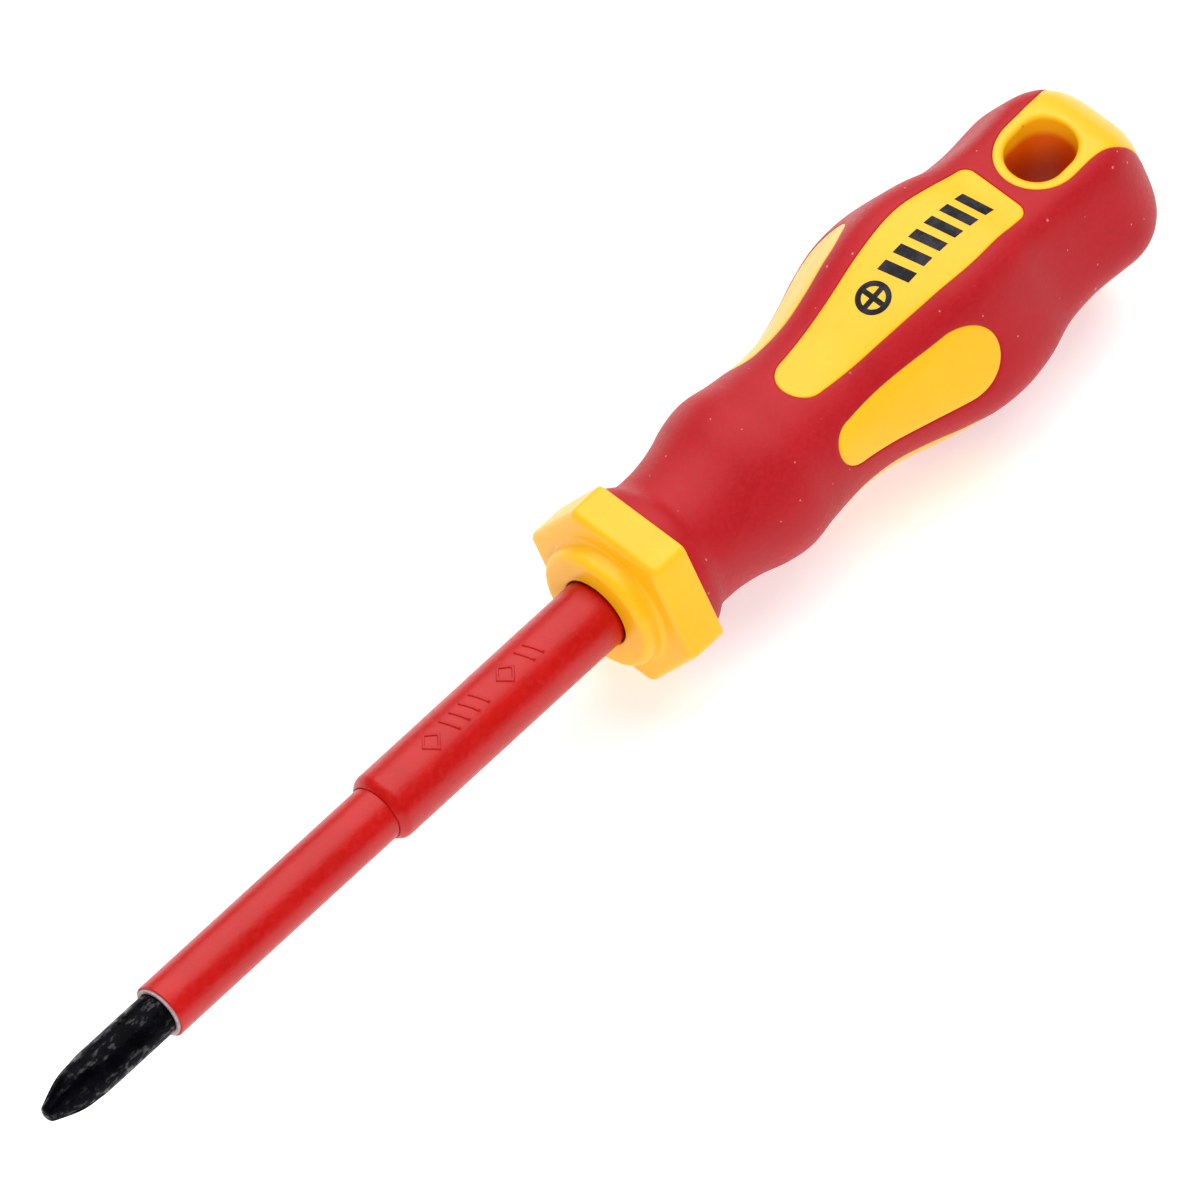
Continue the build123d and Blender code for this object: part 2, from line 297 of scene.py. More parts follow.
def turn_beside(way, side, base=0.0):
    """Turns past a base turn, at which the skin is a given distance to the side of the axis."""
    low, high = np.full(len(way), -pi / 2), np.full(len(way), pi / 2)
    for _ in range(HALVINGS):
        middle = (low + high) / 2
        short = skin_radius(way, middle + base) * np.sin(middle) < side
        low = np.where(short, middle, low)
        high = np.where(short, high, middle)
    return (low + high) / 2


def on_skin(outline, turn):
    """Skin places under an outline drawn flat in front of the face at a turn (degrees)."""
    outline = np.asarray(outline, float)
    way = way_at(outline[:, 0])
    base = radians(turn)
    return np.stack([way, turn_beside(way, outline[:, 1], base) + base], axis=-1)


# ---- Outlines, drawn flat as (x, sideways). Each can be drawn wider by an offset.

def resample(points, spacing):
    """The same open line with even steps."""
    points = np.asarray(points, float)
    way = np.concatenate([[0], np.cumsum(np.hypot(*np.diff(points, axis=0).T))])
    count = max(2, int(round(way[-1] / spacing)) + 1)
    places = np.linspace(0, way[-1], count)
    return np.stack([np.interp(places, way, points[:, k]) for k in range(2)], axis=-1)


def arc(center, radii, start, end, count):
    angles = np.radians(np.linspace(start, end, count))
    return np.stack([center[0] + radii[0] * np.cos(angles), center[1] + radii[1] * np.sin(angles)], axis=-1)


def mirrored(half_line):
    """Closed outline from its half on the positive side, from nose to back, both ends on the axis."""
    return np.concatenate([half_line, half_line[-2:0:-1] * (1, -1)])


def widened(outline, offset):
    """A closed outline moved outwards by an offset."""
    if offset == 0:
        return outline
    along = np.roll(outline, -1, axis=0) - np.roll(outline, 1, axis=0)
    outwards = np.stack([-along[:, 1], along[:, 0]], axis=-1)
    outwards /= np.linalg.norm(outwards, axis=-1, keepdims=True)
    return outline + outwards * offset


def panel_outline():
    nose_x, nose_half = PANEL_SIDE[0]
    nose = arc((nose_x, 0), (nose_x - PANEL_NOSE, nose_half), 180, 90, 16)
    knots, sides = zip(*PANEL_SIDE)
    x = np.linspace(nose_x, PANEL_BACK - PANEL_CORNER, 60)[1:]
    side = np.stack([x, smooth_curve(knots, sides, x)], axis=-1)
    corner_center = (PANEL_BACK - PANEL_CORNER, side[-1, 1] - PANEL_CORNER)
    corner = arc(corner_center, (PANEL_CORNER, PANEL_CORNER), 90, 0, 12)[1:]
    half = np.concatenate([nose, side, corner, [(PANEL_BACK, 0)]])
    return mirrored(resample(half, OUTLINE_STEP))


def oval_outline():
    nose_x, nose_half = OVAL_NOSE_END
    back_x, back_half = OVAL_WIDEST
    nose = arc((nose_x, 0), (nose_x - OVAL_NOSE, nose_half), 180, 90, 16)
    knots, sides = zip(OVAL_NOSE_END, OVAL_MIDDLE, OVAL_WIDEST)
    x = np.linspace(nose_x, back_x, 40)[1:]
    side = np.stack([x, smooth_curve(knots, sides, x)], axis=-1)
    back = arc((back_x, 0), (OVAL_BACK - back_x, back_half), 90, 0, 24)[1:]
    return mirrored(resample(np.concatenate([nose, side, back]), OUTLINE_STEP))


def hole_outline(offset):
    """The hang hole, wider by an offset: straight sides with round ends."""
    radius = HOLE_WIDTH / 2 + offset
    reach = (HOLE_LENGTH - HOLE_WIDTH) / 2
    front = arc((HOLE_X - reach, 0), (radius, radius), 180, 90, 22)
    back = arc((HOLE_X + reach, 0), (radius, radius), 90, 0, 22)
    return mirrored(np.concatenate([front, back]))


def strap_side(offset):
    """Skin places along one side of the strap, from beside the hole over the tail to the seam."""
    knots, halves = zip((HOLE_X, STRAP_HALF), *STRAP_SIDE)

    def side_at(way):
        return smooth_curve(knots, halves, np.interp(way, PROFILE_WAY, PROFILE_X)) + offset

    start = way_at(HOLE_X)
    ways = np.linspace(start, WAY_END, 3000)
    spare = skin_radius(ways, pi / 2) - side_at(ways)
    past = int(np.argmax(spare < 0))
    last = np.interp(0, (spare[past], spare[past - 1]), (ways[past], ways[past - 1]))
    way = last - (last - start) * np.linspace(1, 0, 400) ** 2
    turn = turn_beside(way, side_at(way))
    turn[-1] = pi / 2
    return resample(np.stack([way, turn * REFERENCE_R], axis=-1), STRAP_STEP) / (1, REFERENCE_R)


def strap_line(offset):
    """The whole line where grip and strap meet, as skin places, from the seam once round the tool."""
    nose = on_skin(arc((HOLE_X, 0), (STRAP_NOSE + offset, STRAP_HALF + offset), 180, 90, 34), 0)
    quarter = np.concatenate([nose, strap_side(offset)[1:]])
    back_half = np.concatenate([quarter[::-1] * (1, -1), quarter[1:]])
    first = back_half + (0, pi)
    second = back_half + (0, 2 * pi)
    return np.concatenate([first, second[1:]])


# ---- Meshes. A patch is a stretch of skin between outlines; a shell closes it underneath.

def mesh_object(name, bm, material):
    bmesh.ops.recalc_face_normals(bm, faces=bm.faces)
    mesh = bpy.data.meshes.new(name)
    bm.to_mesh(mesh)
    bm.free()
    mesh.materials.append(material)
    made = bpy.data.objects.new(name, mesh)
    bpy.context.scene.collection.objects.link(made)
    return made


def finish_piece(name, bm, node, material, sharp_angle=None):
    """Makes a visible piece that replaces a CAD node; edges over the angle (degrees) stay sharp."""
    bmesh.ops.remove_doubles(bm, verts=bm.verts, dist=MERGE_DISTANCE)
    piece = mesh_object(name, bm, material)
    piece.data.shade_smooth()
    if sharp_angle:
        piece.data.set_sharp_from_angle(angle=radians(sharp_angle))
    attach(piece, "root")
    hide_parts(node)


def inside(points, loop):
    """Which points are inside a closed loop, by even and odd crossings."""
    x, y = points[:, 0], points[:, 1]
    result = np.zeros(len(points), bool)
    for (x1, y1), (x2, y2) in zip(loop, np.roll(loop, -1, axis=0)):
        if y1 == y2:
            continue
        crosses = (y1 > y) != (y2 > y)
        result ^= crosses & (x < (x2 - x1) * (y - y1) / (y2 - y1) + x1)
    return result


def join_seam(places, faces):
    """Makes the patch's last line of places the same points as its first, one turn before."""
    first = {round(way, 5): i for i, (way, turn) in enumerate(places) if abs(turn - SEAM) < 1e-6}
    same = np.arange(len(places))
    for i, (way, turn) in enumerate(places):
        if abs(turn - SEAM - 2 * pi) < 1e-6:
            same[i] = first[round(way, 5)]
    return same[faces]


class Patch:
    """Gathers skin places with their depths and the lines between them, and fills them with triangles."""

    def __init__(self):
        self.places = []
        self.depths = []
        self.edges = []

    def line(self, places, depth, closed=True):
        start = len(self.places)
        depth = np.broadcast_to(depth, len(places))
        self.places.extend(map(tuple, places))
        self.depths.extend(depth)
        last = len(places) if closed else len(places) - 1
        self.edges.extend((start + i, start + (i + 1) % len(places)) for i in range(last))

    def seam_line(self, way_from, way_to, step, depth):
        """The same line of places along both sides of the seam, so that they can be joined."""
        ways = np.arange(way_from, way_to, step)
        for edge in (SEAM, SEAM + 2 * pi):
            self.line([(way, edge) for way in ways], depth, closed=False)

    def fill(self, lattice, lattice_depth, clearance, keep):
        """Adds a lattice between the lines and triangulates; keep says which triangle centres stay."""
        lattice_depth = np.broadcast_to(lattice_depth, len(lattice))
        tree = KDTree(len(self.places))
        for index, (way, turn) in enumerate(self.places):
            tree.insert((way, turn * REFERENCE_R, 0), index)
        tree.balance()
        for (way, turn), depth in zip(lattice, lattice_depth):
            if tree.find((way, turn * REFERENCE_R, 0))[2] > clearance:
                self.places.append((way, turn))
                self.depths.append(depth)
        flat = [Vector((way, turn * REFERENCE_R)) for way, turn in self.places]
        verts, _, faces, origins, _, _ = delaunay_2d_cdt(flat, self.edges, [], 0, 1e-7)
        places = np.array([(v.x, v.y / REFERENCE_R) for v in verts])
        depths = np.array([self.depths[o[0]] if o else 0.0 for o in origins])
        faces = np.array(faces)
        faces = faces[keep(places[faces].mean(axis=1))]
        return places, depths, join_seam(places, faces)


def lattice_places(way_from, way_to, step):
    """Evenly spaced skin places, once round the tool without the seam itself."""
    ways = np.arange(way_from + step, way_to - step / 2, step)
    count = int(round(2 * pi * REFERENCE_R / step))
    turns = SEAM + 2 * pi * np.arange(1, count) / count
    grid = np.stack(np.meshgrid(ways, turns, indexing="ij"), axis=-1)
    return grid.reshape(-1, 2)


def rounding(distance, radius):
    """How far a rounded edge has dropped at a distance in from its rim."""
    reach = np.clip(radius - distance, 0, radius)
    return radius - np.sqrt(radius ** 2 - reach ** 2)


def wrapped(line, turn):
    """An outline's skin places, moved by whole turns into the range that starts at the seam."""
    places = on_skin(line, turn)
    middle = places[:, 1].mean()
    return places + (0, 2 * pi * np.ceil((SEAM - middle) / (2 * pi)))


def window_outlines():
    for turn in PANEL_TURNS:
        yield panel_outline(), turn
    for turn in OVAL_TURNS:
        yield oval_outline(), turn


def add_points(bm, points):
    return [bm.verts.new(Vector(p) * MM) for p in points]


def add_shell(bm, top, bottom, faces):
    """Closed solid from a top sheet, a bottom sheet under it and walls at every open edge."""
    used = np.unique(faces)
    upper = dict(zip(used, add_points(bm, top[used])))
    lower = dict(zip(used, add_points(bm, bottom[used])))
    directed = {}
    for a, b, c in faces:
        bm.faces.new((upper[a], upper[b], upper[c]))
        bm.faces.new((lower[c], lower[b], lower[a]))
        for edge in ((a, b), (b, c), (c, a)):
            directed[edge] = True
    for a, b in directed:
        if (b, a) not in directed:
            bm.faces.new((upper[b], upper[a], lower[a], lower[b]))


def make_soft_grip(material):
    patch = Patch()
    front = np.linspace(SEAM, SEAM + 2 * pi, FRONT_COUNT)
    for step in EDGE_STEPS:
        way = np.full(len(front), step * GRIP_EDGE)
        drop = rounding(step * GRIP_EDGE, GRIP_EDGE)
        patch.line(np.stack([way, front], axis=-1), drop, closed=False)
    for step in EDGE_STEPS:
        drop = rounding(step * GRIP_EDGE, GRIP_EDGE)
        patch.line(strap_line(step * GRIP_EDGE), drop, closed=False)
    holes = []
    for outline, turn in window_outlines():
        for step in EDGE_STEPS:
            places = wrapped(widened(outline, step * GRIP_EDGE), turn)
            patch.line(places, rounding(step * GRIP_EDGE, GRIP_EDGE))
            if step == 0:
                holes.append(places)
    strap = strap_line(0)
    region = np.concatenate([[(0, SEAM)], strap, [(0, SEAM + 2 * pi)]])

    def keep(centers):
        stays = inside(centers, region)
        for hole in holes:
            stays &= ~inside(centers, hole)
        return stays

    lattice = lattice_places(EDGE_CLEARANCE, strap[:, 0].max(), SKIN_STEP)
    lattice = lattice[inside(lattice, region)]
    patch.seam_line(SKIN_STEP, strap[0, 0] - EDGE_CLEARANCE, SKIN_STEP, 0.0)
    places, depths, faces = patch.fill(lattice, 0.0, EDGE_CLEARANCE, keep)
    top = sunk_point(places[:, 0], places[:, 1], depths)
    bottom = sunk_point(places[:, 0], places[:, 1], GRIP_THICKNESS)
    bottom[:, 0] = np.maximum(bottom[:, 0], COLLAR_BACK + COVER_GAP)
    bm = bmesh.new()
    add_shell(bm, top, bottom, faces)
    finish_piece("grip_skin", bm, "soft_grip", material)


# ---- The yellow body: collar and boss by rings, the rest by one patch with its pads standing up.

def collar_turns():
    """Turns round the hexagon, closer together at its rounded corners, once round from the seam."""
    inner = COLLAR_HALF - COLLAR_CORNER
    flat_reach = atan(inner * tan(pi / 6) / COLLAR_HALF)
    flat = np.linspace(-flat_reach, flat_reach, 9)
    corner = np.linspace(flat_reach, pi / 3 - flat_reach, 9)[1:-1]
    sector = np.concatenate([flat, corner])
    turns = np.concatenate([sector + k * pi / 3 for k in range(6)])
    turns = SEAM + (turns - SEAM) % (2 * pi)
    return np.sort(turns)


def collar_radius(turn, inset):
    """A hexagon with rounded corners, its flats facing the windows, drawn in by an inset."""
    half, corner = COLLAR_HALF - inset, max(COLLAR_CORNER - inset, 0.05)
    beta = (turn + pi / 6) % (pi / 3) - pi / 6
    inner = half - corner
    reach = inner / cos(pi / 6)
    flat = half / np.cos(beta)
    away = pi / 6 - np.abs(beta)
    rounded = reach * np.cos(away) + np.sqrt(np.maximum(corner ** 2 - (reach * np.sin(away)) ** 2, 0))
    on_flat = half * np.tan(np.abs(beta)) <= inner * tan(pi / 6)
    return np.where(on_flat, flat, rounded)


def collar_rings(turns):
    """Rings of (x, radius at every turn), from the bore's end round the outside to the collar's back."""
    ones = np.ones(len(turns))
    rings = [(BORE_END, BORE_R * ones), (BOSS_FRONT + BORE_MOUTH, BORE_R * ones)]
    for angle in np.linspace(0, pi / 2, 5)[1:]:
        x = BOSS_FRONT + BORE_MOUTH * (1 - sin(angle))
        rings.append((x, (BORE_R + BORE_MOUTH * (1 - cos(angle))) * ones))
    for angle in np.linspace(0, pi / 2, 9):
        x = BOSS_FRONT + BOSS_ROUND * (1 - cos(angle))
        rings.append((x, (BOSS_R - BOSS_ROUND * (1 - sin(angle))) * ones))
    for angle in np.linspace(0, pi / 2, 8):
        x = COLLAR_FRONT - COLLAR_HOLLOW * (1 - sin(angle))
        rings.append((x, (BOSS_R + COLLAR_HOLLOW * (1 - cos(angle))) * ones))
    for angle in np.linspace(0, pi / 2, 9):
        x = COLLAR_FRONT + COLLAR_FRONT_ROUND * (1 - cos(angle))
        rings.append((x, collar_radius(turns, COLLAR_FRONT_ROUND * (1 - sin(angle)))))
    for angle in np.linspace(0, pi / 2, 6):
        x = COLLAR_BACK - COLLAR_BACK_ROUND * (1 - sin(angle))
        rings.append((x, collar_radius(turns, COLLAR_BACK_ROUND * (1 - cos(angle)))))
    return rings


def ring_points(x, radii, turns):
    """Points about the tool's axis, for turns and an x and radius each or for all."""
    x = np.broadcast_to(x, len(turns))
    return np.stack([x, -radii * np.sin(turns), radii * np.cos(turns)], axis=-1)


def bridge(bm, rings, closed=True):
    """Faces between rings of vertices."""
    for one, two in zip(rings, rings[1:]):
        count = len(one)
        for i in range(count if closed else count - 1):
            j = (i + 1) % count
            bm.faces.new((one[i], one[j], two[j], two[i]))


def cap(bm, ring, center):
    """A fan of faces that closes a ring."""
    point = bm.verts.new(Vector(center) * MM)
    for i in range(len(ring)):
        bm.faces.new((ring[i], ring[(i + 1) % len(ring)], point))


def make_handle_body(material):
    turns = collar_turns()
    patch = Patch()
    around = np.append(turns, turns[0] + 2 * pi)
    patch.line(np.stack([np.zeros(len(around)), around], axis=-1), COVERED_DROP, closed=False)
    pole_way = WAY_END - POLE_CAP
    rim = np.linspace(SEAM, SEAM + 2 * pi, RIM_COUNT + 1)
    patch.line(np.stack([np.full(len(rim), pole_way), rim], axis=-1), PAD_DROP, closed=False)
    patch.line(strap_line(COVER_GAP), COVERED_DROP, closed=False)
    for step in EDGE_STEPS:
        patch.line(strap_line(-step * PAD_EDGE), PAD_DROP + rounding(step * PAD_EDGE, PAD_EDGE), closed=False)
    strap = strap_line(0)
    pads = []
    for outline, turn in window_outlines():
        patch.line(wrapped(widened(outline, COVER_GAP), turn), COVERED_DROP)
        for step in EDGE_STEPS:
            places = wrapped(widened(outline, -step * PAD_EDGE), turn)
            patch.line(places, PAD_DROP + rounding(step * PAD_EDGE, PAD_EDGE))
            if step == 0:
                pads.append(places)
    holes = []
    for turn in HOLE_TURNS:
        for step in EDGE_STEPS:
            places = wrapped(hole_outline(step * HOLE_ROUND), turn)
            patch.line(places, PAD_DROP)
            if step == 0:
                holes.append(places)
    strap_region = np.concatenate([strap, [(pole_way, SEAM + 2 * pi), (pole_way, SEAM)]])

    def shown(points):
        """Which places show: on the strap or on a pad."""
        result = inside(points, strap_region)
        for pad in pads:
            result |= inside(points, pad)
        return result

    def keep(centers):
        stays = np.ones(len(centers), bool)
        for hole in holes:
            stays &= ~inside(centers, hole)
        return stays

    fine = lattice_places(0, pole_way, SKIN_STEP)
    fine = fine[shown(fine)]
    coarse = lattice_places(0, pole_way, COVERED_STEP)
    coarse = coarse[~shown(coarse)]
    lattice = np.concatenate([fine, coarse])
    depth = np.repeat([PAD_DROP, COVERED_DROP], [len(fine), len(coarse)])
    strap_way = strap[0, 0]
    patch.seam_line(COVERED_STEP, strap_way - STRAP_GAPS[0], COVERED_STEP, COVERED_DROP)
    patch.seam_line(strap_way + STRAP_GAPS[1], pole_way - POLE_GAP, SKIN_STEP, PAD_DROP)
    places, depths, faces = patch.fill(lattice, depth, EDGE_CLEARANCE, keep)
    points = sunk_point(places[:, 0], places[:, 1], depths)
    points[places[:, 0] < 1e-6, 0] = COLLAR_BACK
    round_the_hole(points)

    bm = bmesh.new()
    used = np.unique(faces)
    verts = dict(zip(used, add_points(bm, points[used])))
    for a, b, c in faces:
        bm.faces.new((verts[a], verts[b], verts[c]))
    add_tunnel(bm)
    rings = [add_points(bm, ring_points(x, radii, turns)) for x, radii in collar_rings(turns)]
    front = sunk_point(0.0, turns, COVERED_DROP)
    front[:, 0] = COLLAR_BACK
    rings.append(add_points(bm, front))
    bridge(bm, rings)
    cap(bm, rings[0], (BORE_END, 0, 0))
    pole = add_points(bm, sunk_point(pole_way, rim[:-1], PAD_DROP))
    cap(bm, pole, (PROFILE_X.max() - PAD_DROP, 0, 0))
    finish_piece("handle_yellow", bm, "handle_body", material)


def hole_reach(x, y):
    """How far outside the hang hole's wall a point is, seen along the hole."""
    reach = (HOLE_LENGTH - HOLE_WIDTH) / 2
    beyond = np.maximum(np.abs(x - HOLE_X) - reach, 0)
    return np.hypot(beyond, y) - HOLE_WIDTH / 2


def round_the_hole(points):
    """Lowers the skin round the hang hole's two mouths into a rounded rim."""
    reach = hole_reach(points[:, 0], points[:, 1])
    near = (reach < HOLE_ROUND) & (reach > -HOLE_SLACK)
    drop = rounding(np.clip(reach[near], 0, None), HOLE_ROUND)
    points[near, 2] -= np.sign(points[near, 2]) * drop


def add_tunnel(bm):
    """The hang hole's wall, from one mouth to the other."""
    loops = []
    for turn in HOLE_TURNS:
        places = wrapped(hole_outline(0), turn)
        points = sunk_point(places[:, 0], places[:, 1], PAD_DROP)
        round_the_hole(points)
        loops.append(points)
    top, bottom = loops
    bottom = np.roll(bottom[::-1], 1, axis=0)
    steps = np.linspace(0, 1, 12)
    bridge(bm, [add_points(bm, top + (bottom - top) * step) for step in steps])


# ---- Turned pieces: the insulation and the blade.

def add_turned(bm, profile, segments):
    """A closed profile of (x, radius) turned about the tool's axis."""
    turns = np.linspace(0, 2 * pi, segments, endpoint=False)
    rings = [add_points(bm, ring_points(x, radius, turns)) for x, radius in profile]
    bridge(bm, rings + rings[:1])


def front_corner(x, radius, size):
    """Points of the rounded corner between a tube's front at x and its outside at a radius."""
    return [tuple(point) for point in arc((x + size, radius - size), (size, size), 180, 90, 6)]


def make_inner_insulation(material):
    bm = bmesh.new()
    lip = LINER_START + SHANK_LEAD
    profile = [(SLEEVE_END, INSULATED_R + PLAY), (lip, INSULATED_R + PLAY), (lip, SHANK_R + PLAY)]
    profile += [(LINER_START + LINER_ROUND / 2, SHANK_R + PLAY)]
    profile += front_corner(LINER_START, LINER_R, LINER_ROUND)
    profile += [(x, LINER_R) for x in np.linspace(LINER_START, SLEEVE_END, 12)[1:]]
    add_turned(bm, profile, 72)
    finish_piece("liner_tube", bm, "inner_insulation", material, 40)


def make_slim_sleeve(material):
    bm = bmesh.new()
    bore_r = LINER_R + PLAY / 2
    profile = [(SLEEVE_END, bore_r), (SLEEVE_START + SLEEVE_CHAMFER, bore_r)]
    profile += front_corner(SLEEVE_START, SLIM_R, SLEEVE_ROUND)
    profile += [(x, SLIM_R) for x in np.linspace(SLEEVE_START + SLEEVE_ROUND, SLEEVE_END, 60)[1:]]
    add_turned(bm, profile, 96)
    finish_piece("slim_red_tube", bm, "slim_sleeve", material)


def mitred_across(path, closed):
    """The way across a path at each of its points, longer where the path turns a corner."""
    if closed:
        before, after = np.roll(path, 1, axis=0), np.roll(path, -1, axis=0)
    else:
        before, after = np.vstack([path[:1], path[:-1]]), np.vstack([path[1:], path[-1:]])
    units = []
    for line in (path - before, after - path):
        length = np.linalg.norm(line, axis=1, keepdims=True)
        units.append(np.divide(line, length, out=np.zeros_like(line), where=length > 0))
    along = units[0] + units[1]
    along /= np.linalg.norm(along, axis=1, keepdims=True)
    across = np.stack([-along[:, 1], along[:, 0]], axis=-1)
    reference = np.where(np.linalg.norm(units[1], axis=1, keepdims=True) > 0, units[1], units[0])
    return across / np.maximum(np.sum(along * reference, axis=1, keepdims=True), 0.5)


def add_ridge(bm, path, closed):
    """A raised line on the outer sleeve, along a path of (x, sideways) laid round the tube."""
    path = np.asarray(path, float)
    across = mitred_across(path, closed)
    rings = []
    for share, height in RIDGE_SECTION:
        flat = path + across * share * MARK_STROKE
        turn = flat[:, 1] / OUTER_R
        rings.append(add_points(bm, ring_points(flat[:, 0], OUTER_R + height * MARK_PROUD, turn)))
    rings.append(rings[0])
    bridge(bm, rings, closed)
    if not closed:
        for end in (0, -1):
            bm.faces.new([ring[end] for ring in rings[:-1]])


def sleeve_marks():
    """The raised pattern: lozenges and slanted hatches, as (path, closed)."""
    half = MARK_HEIGHT / 2 - MARK_STROKE / 2
    for x in LOZENGES_X:
        corners = [(x - half, 0), (x, half), (x + half, 0), (x, -half)]
        path = []
        for one, two in zip(corners, corners[1:] + corners[:1]):
            path += [tuple(np.add(one, np.subtract(two, one) * t)) for t in np.linspace(0, 1, 7)[:-1]]
        yield path, True
    lean = tan(radians(MARK_SLANT))
    for x in HATCHES_X:
        yield [(x + side * lean, side) for side in np.linspace(-half, half, 9)], False


def make_outer_sleeve(material):
    bm = bmesh.new()
    profile = [(SLEEVE_END, SLIM_R + PLAY / 2), (STEP_X + STEP_LIP, SLIM_R + PLAY / 2)]
    rise = OUTER_R - SLIM_R
    profile += [(STEP_X + share * STEP_LENGTH, SLIM_R + rise * height) for share, height in STEP_SECTION]
    profile += [(x, OUTER_R) for x in np.linspace(profile[-1][0], BOSS_FRONT, 50)[1:]]
    profile += [(BOSS_FRONT + STEP_LIP, EMBEDDED_R), (SLEEVE_END, EMBEDDED_R)]
    add_turned(bm, profile, 120)
    for path, closed in sleeve_marks():
        add_ridge(bm, path, closed)
    finish_piece("thick_red_tube", bm, "outer_sleeve", material)


def tip_radius(x):
    """The point's cone, running smoothly into the shank."""
    cone = TIP_R + (SHANK_R - TIP_R) * x / TIP_TAPER
    return SHANK_R + TIP_BLEND * -np.logaddexp(0, -(cone - SHANK_R) / TIP_BLEND)


def blade_ring(x, radius):
    """One cross-section: four flutes at right angles, with a sharp wing between each two."""
    wing = np.interp(x, *zip(*FLUTE_STATIONS))
    edge = min(asin(min(wing / radius, 1)), radians(WIDEST_WING))
    half = np.concatenate([np.linspace(0, edge, 5), np.linspace(edge, pi / 4, 7)[1:]])
    alpha = np.concatenate([half, pi / 2 - half[-2:0:-1]])
    near = np.minimum(alpha, pi / 2 - alpha)
    flute = wing / np.maximum(np.sin(near), 1e-6)
    radii = np.minimum(radius, np.maximum(wing / np.cos(near), flute))
    turns = [alpha - pi / 4 + radians(FLUTE_TURN) + k * pi / 2 for k in range(4)]
    return ring_points(x, np.tile(radii, 4), np.concatenate(turns))


def make_blade(material):
    bm = bmesh.new()
    lip = LINER_START + SHANK_LEAD - PLAY
    plain_xs = np.concatenate([np.linspace(*POINT_X, 44), np.linspace(PLAIN_X, lip, 12)])
    stations = [*POINT_END, *((x, 1.0) for x in plain_xs)]
    rings = [add_points(bm, blade_ring(x, tip_radius(x) * share)) for x, share in stations]
    rings += [add_points(bm, blade_ring(x, INSULATED_R)) for x in (lip, TANG_END)]
    bridge(bm, rings)
    cap(bm, rings[0], (0, 0, 0))
    cap(bm, rings[-1], (TANG_END, 0, 0))
    for x in TANG_WINGS_X:
        slab = bmesh.ops.create_cube(bm, size=1)["verts"]
        size = Vector((TANG_WING_LENGTH, TANG_WING_SPAN, TANG_WING_THICKNESS)) * MM
        bmesh.ops.scale(bm, vec=size, verts=slab)
        bmesh.ops.translate(bm, vec=(x * MM, 0, 0), verts=slab)
        edges = list({edge for vert in slab for edge in vert.link_edges})
        bmesh.ops.bevel(bm, geom=edges, offset=TANG_WING_BEVEL * MM, segments=2, affect="EDGES")
    finish_piece("cross_point_blade", bm, "blade", material, 32)


# ---- The print: a ring with a cross, for the kind of point, and a row of slanted bars.

def print_shapes():
    """Each shape as its outline and the holes in it, drawn flat as (x, sideways)."""
    ring = arc((PRINT_RING_X, 0), (PRINT_RING_R, PRINT_RING_R), 0, 360, 41)[:-1]
    reach = degrees(asin(PRINT_CROSS / 2 / PRINT_HOLE_R))
    corner_reach = PRINT_CROSS / sqrt(2)
    holes = []
    for start in range(0, 360, 90):
        rim = arc((0, 0), (PRINT_HOLE_R, PRINT_HOLE_R), start + reach, start + 90 - reach, 8)
        corner = arc((0, 0), (corner_reach, corner_reach), start + 45, start + 45, 1)
        holes.append(with_side_points(np.concatenate([rim, corner]) + (PRINT_RING_X, 0)))
    yield ring, holes
    lean = tan(radians(PRINT_SLANT))
    half_width = PRINT_BAR_WIDTH / 2 / cos(radians(PRINT_SLANT))
    half = PRINT_HEIGHT / 2
    for k in range(PRINT_BAR_COUNT):
        x = PRINT_BARS_X + (k - (PRINT_BAR_COUNT - 1) / 2) * PRINT_BAR_PITCH
        corners = [(x + side * half_width + end * half * lean, end * half)
                   for side, end in ((-1, -1), (1, -1), (1, 1), (-1, 1))]
        yield with_side_points(np.array(corners)), []


def with_side_points(corners):
    """A closed outline with points along its sides, its corners kept."""
    points = []
    for one, two in zip(corners, np.roll(corners, -1, axis=0)):
        count = max(1, int(round(hypot(*(two - one)) / PRINT_EDGE_STEP)))
        points += [one + (two - one) * k / count for k in range(count)]
    return np.array(points)


def make_label_print(material):
    bm = bmesh.new()
    for outline, holes in print_shapes():
        patch = Patch()
        loops = [wrapped(line, 0) for line in (outline, *holes)]
        for loop in loops:
            patch.line(loop, 0.0)
        low, high = loops[0].min(axis=0), loops[0].max(axis=0)
        ways = np.arange(low[0], high[0], PRINT_STEP)
        turns = np.arange(low[1], high[1], PRINT_STEP / REFERENCE_R)
        lattice = np.stack(np.meshgrid(ways, turns), axis=-1).reshape(-1, 2)

        def keep(points):
            stays = inside(points, loops[0])
            for hole in loops[1:]:
                stays &= ~inside(points, hole)
            return stays

        lattice = lattice[keep(lattice)]
        places, _, faces = patch.fill(lattice, 0.0, PRINT_CLEARANCE, keep)
        way, turn = places[:, 0], places[:, 1]
        top = sunk_point(way, turn, PAD_DROP - PRINT_PROUD)
        bottom = sunk_point(way, turn, PAD_DROP + PRINT_SUNK)
        add_shell(bm, top, bottom, faces)
    finish_piece("panel_print", bm, "label_print", material, 50)


# ---- Materials. Every pattern is read in object coordinates, so it stays on its piece.

